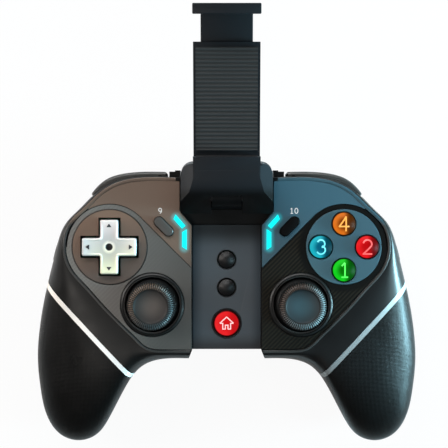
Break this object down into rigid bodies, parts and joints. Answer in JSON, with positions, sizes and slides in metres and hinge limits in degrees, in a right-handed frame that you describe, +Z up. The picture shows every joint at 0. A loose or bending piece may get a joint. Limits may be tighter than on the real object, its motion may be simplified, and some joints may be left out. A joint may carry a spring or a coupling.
{
  "type": "gamepad",
  "caption": "Wireless game controller lying on its back, with thumb sticks, direction pad, buttons, bumpers, triggers and a folding sprung phone holder.",
  "frame": {"origin": "centre line of the flat back that the pad rests on, at the resting height", "axes": "+X to the player's right, +Y away from the player towards the phone holder, +Z up through the buttons"},
  "size_m": [0.16, 0.1801, 0.0577],
  "materials": {
    "shell_black": "satin moulded plastic",
    "shell_lower": "fine spark-eroded plastic",
    "grip_texture": "fine square grid moulded in soft-touch plastic",
    "silver_trim": "satin plated band",
    "panel_grey": "smooth satin plastic",
    "plate_dark": "diagonal woven relief under a clear coat",
    "disc_black": "gloss plastic",
    "strip_black": "fine spark-eroded plastic",
    "ring_grey": "plated ring",
    "cross_metal": "satin cast metal",
    "orange_button": "dark translucent, lit orange",
    "blue_button": "dark translucent, lit blue",
    "red_button": "dark translucent, lit red",
    "green_button": "dark translucent, lit green",
    "small_button_grey": "gloss plastic",
    "small_button_black": "gloss plastic",
    "home_red": "translucent, lit red",
    "stick_rubber": "knurled rubber",
    "light_cyan": "frosted light guide, lit cyan",
    "inner_plastic": "plain moulded plastic",
    "membrane": "silicone rubber",
    "board": "laminate",
    "cell": "foil pouch",
    "steel": "plain steel",
    "holder_black": "satin moulded plastic",
    "pad_rubber": "ribbed rubber"
  },
  "bodies": {
    "housing": {"front_housing": "shell_black", "rear_housing": "shell_lower", "centre_strip": "strip_black", "dpad_disc": "disc_black", "button_disc": "disc_black", "light_guides": "light_cyan", "main_board": "board", "battery": "cell", "charging_port": "steel", "rubber_domes": "membrane", "shoulder_switches": "inner_plastic", "bumper_pins": "steel", "trigger_pins": "steel", "housing_screws": "steel", "bracket_screws": "steel", "dpad_cradle": "inner_plastic", "holder_bracket": "steel", "holder_hinge_pin": "steel", "left_grip": "grip_texture", "left_trim": "silver_trim", "left_top_panel": "panel_grey", "left_side_plate": "plate_dark", "left_stick_ring": "ring_grey", "left_stick_module": "inner_plastic", "right_grip": "grip_texture", "right_trim": "silver_trim", "right_top_panel": "panel_grey", "right_side_plate": "plate_dark", "right_stick_ring": "ring_grey", "right_stick_module": "inner_plastic"},
    "face_button_top": {"face_button_top": "orange_button"},
    "face_button_left": {"face_button_left": "blue_button"},
    "face_button_bottom": {"face_button_bottom": "green_button"},
    "face_button_right": {"face_button_right": "red_button"},
    "select_button": {"select_button": "small_button_grey"},
    "start_button": {"start_button": "small_button_black"},
    "upper_menu_button": {"upper_menu_button": "small_button_black"},
    "lower_menu_button": {"lower_menu_button": "small_button_black"},
    "home_button": {"home_button": "home_red"},
    "dpad_carrier": {"dpad_carrier": "inner_plastic"},
    "dpad_cross": {"dpad_cross": "cross_metal"},
    "left_stick_rocker": {"left_stick_rocker": "inner_plastic"},
    "left_stick_stem": {"left_stick_stem": "steel"},
    "left_stick_cap": {"left_stick_cap": "stick_rubber"},
    "left_bumper": {"left_bumper": "shell_lower"},
    "left_trigger": {"left_trigger": "shell_lower"},
    "right_stick_rocker": {"right_stick_rocker": "inner_plastic"},
    "right_stick_stem": {"right_stick_stem": "steel"},
    "right_stick_cap": {"right_stick_cap": "stick_rubber"},
    "right_bumper": {"right_bumper": "shell_lower"},
    "right_trigger": {"right_trigger": "shell_lower"},
    "holder": {"holder_base": "holder_black", "holder_back_cover": "holder_black", "holder_back_pad": "pad_rubber", "shelf_pad": "pad_rubber", "holder_springs": "steel"},
    "jaw": {"jaw_slide": "holder_black", "jaw_pad": "pad_rubber"}
  },
  "joints": [
    {"name": "face_button_top_press", "type": "slide", "parent": "housing", "child": "face_button_top", "axis": [0, 0, -1], "range_m": [0, 0.0013], "stiffness_N_per_m": 350, "springref_m": -0.001},
    {"name": "face_button_left_press", "type": "slide", "parent": "housing", "child": "face_button_left", "axis": [0, 0, -1], "range_m": [0, 0.0013], "stiffness_N_per_m": 350, "springref_m": -0.001},
    {"name": "face_button_bottom_press", "type": "slide", "parent": "housing", "child": "face_button_bottom", "axis": [0, 0, -1], "range_m": [0, 0.0013], "stiffness_N_per_m": 350, "springref_m": -0.001},
    {"name": "face_button_right_press", "type": "slide", "parent": "housing", "child": "face_button_right", "axis": [0, 0, -1], "range_m": [0, 0.0013], "stiffness_N_per_m": 350, "springref_m": -0.001},
    {"name": "select_button_press", "type": "slide", "parent": "housing", "child": "select_button", "axis": [0, 0, -1], "range_m": [0, 0.0007], "stiffness_N_per_m": 500, "springref_m": -0.001},
    {"name": "start_button_press", "type": "slide", "parent": "housing", "child": "start_button", "axis": [0, 0, -1], "range_m": [0, 0.0007], "stiffness_N_per_m": 500, "springref_m": -0.001},
    {"name": "upper_menu_button_press", "type": "slide", "parent": "housing", "child": "upper_menu_button", "axis": [0, 0, -1], "range_m": [0, 0.0007], "stiffness_N_per_m": 500, "springref_m": -0.001},
    {"name": "lower_menu_button_press", "type": "slide", "parent": "housing", "child": "lower_menu_button", "axis": [0, 0, -1], "range_m": [0, 0.0007], "stiffness_N_per_m": 500, "springref_m": -0.001},
    {"name": "home_button_press", "type": "slide", "parent": "housing", "child": "home_button", "axis": [0, 0, -1], "range_m": [0, 0.0007], "stiffness_N_per_m": 500, "springref_m": -0.001},
    {"name": "dpad_rock_up_down", "type": "hinge", "parent": "housing", "child": "dpad_carrier", "pos_m": [-0.048, 0.0059, 0.0286], "axis": [1, 0, 0], "range_deg": [-5, 5], "stiffness_Nm_per_rad": 0.15},
    {"name": "dpad_rock_left_right", "type": "hinge", "parent": "dpad_carrier", "child": "dpad_cross", "pos_m": [-0.048, 0.0059, 0.0286], "axis": [0, 1, 0], "range_deg": [-5, 5], "stiffness_Nm_per_rad": 0.15},
    {"name": "left_stick_up_down", "type": "hinge", "parent": "housing", "child": "left_stick_rocker", "pos_m": [-0.0305, -0.0178, 0.027], "axis": [1, 0, 0], "range_deg": [-16, 16], "stiffness_Nm_per_rad": 0.08},
    {"name": "left_stick_left_right", "type": "hinge", "parent": "left_stick_rocker", "child": "left_stick_stem", "pos_m": [-0.0305, -0.0178, 0.027], "axis": [0, 1, 0], "range_deg": [-16, 16], "stiffness_Nm_per_rad": 0.08},
    {"name": "left_stick_press", "type": "slide", "parent": "left_stick_stem", "child": "left_stick_cap", "axis": [0, 0, -1], "range_m": [0, 0.0005], "stiffness_N_per_m": 1500, "springref_m": -0.001},
    {"name": "left_bumper_press", "type": "hinge", "parent": "housing", "child": "left_bumper", "pos_m": [-0.0275, 0.0344, 0.027], "axis": [0, 0, 1], "range_deg": [0, 2.2], "stiffness_Nm_per_rad": 0.5, "springref_deg": -1.72},
    {"name": "left_trigger_pull", "type": "hinge", "parent": "housing", "child": "left_trigger", "pos_m": [-0.04257, 0.03009, 0.0135], "axis": [-0.6473, -0.7623, 0], "range_deg": [0, 9], "stiffness_Nm_per_rad": 0.1, "springref_deg": -8.59},
    {"name": "right_stick_up_down", "type": "hinge", "parent": "housing", "child": "right_stick_rocker", "pos_m": [0.0305, -0.0178, 0.027], "axis": [1, 0, 0], "range_deg": [-16, 16], "stiffness_Nm_per_rad": 0.08},
    {"name": "right_stick_left_right", "type": "hinge", "parent": "right_stick_rocker", "child": "right_stick_stem", "pos_m": [0.0305, -0.0178, 0.027], "axis": [0, 1, 0], "range_deg": [-16, 16], "stiffness_Nm_per_rad": 0.08},
    {"name": "right_stick_press", "type": "slide", "parent": "right_stick_stem", "child": "right_stick_cap", "axis": [0, 0, -1], "range_m": [0, 0.0005], "stiffness_N_per_m": 1500, "springref_m": -0.001},
    {"name": "right_bumper_press", "type": "hinge", "parent": "housing", "child": "right_bumper", "pos_m": [0.0275, 0.0344, 0.027], "axis": [0, 0, -1], "range_deg": [0, 2.2], "stiffness_Nm_per_rad": 0.5, "springref_deg": -1.72},
    {"name": "right_trigger_pull", "type": "hinge", "parent": "housing", "child": "right_trigger", "pos_m": [0.04257, 0.03009, 0.0135], "axis": [-0.6473, 0.7623, 0], "range_deg": [0, 9], "stiffness_Nm_per_rad": 0.1, "springref_deg": -8.59},
    {"name": "holder_fold", "type": "hinge", "parent": "housing", "child": "holder", "pos_m": [0, 0.0265, 0.038], "axis": [1, 0, 0], "range_deg": [-10, 147]},
    {"name": "jaw_stretch", "type": "slide", "parent": "holder", "child": "jaw", "axis": [0, 0.9848, 0.1736], "range_m": [0, 0.024], "stiffness_N_per_m": 180, "springref_m": -0.02, "deforming": ["holder_springs"]}
  ]
}
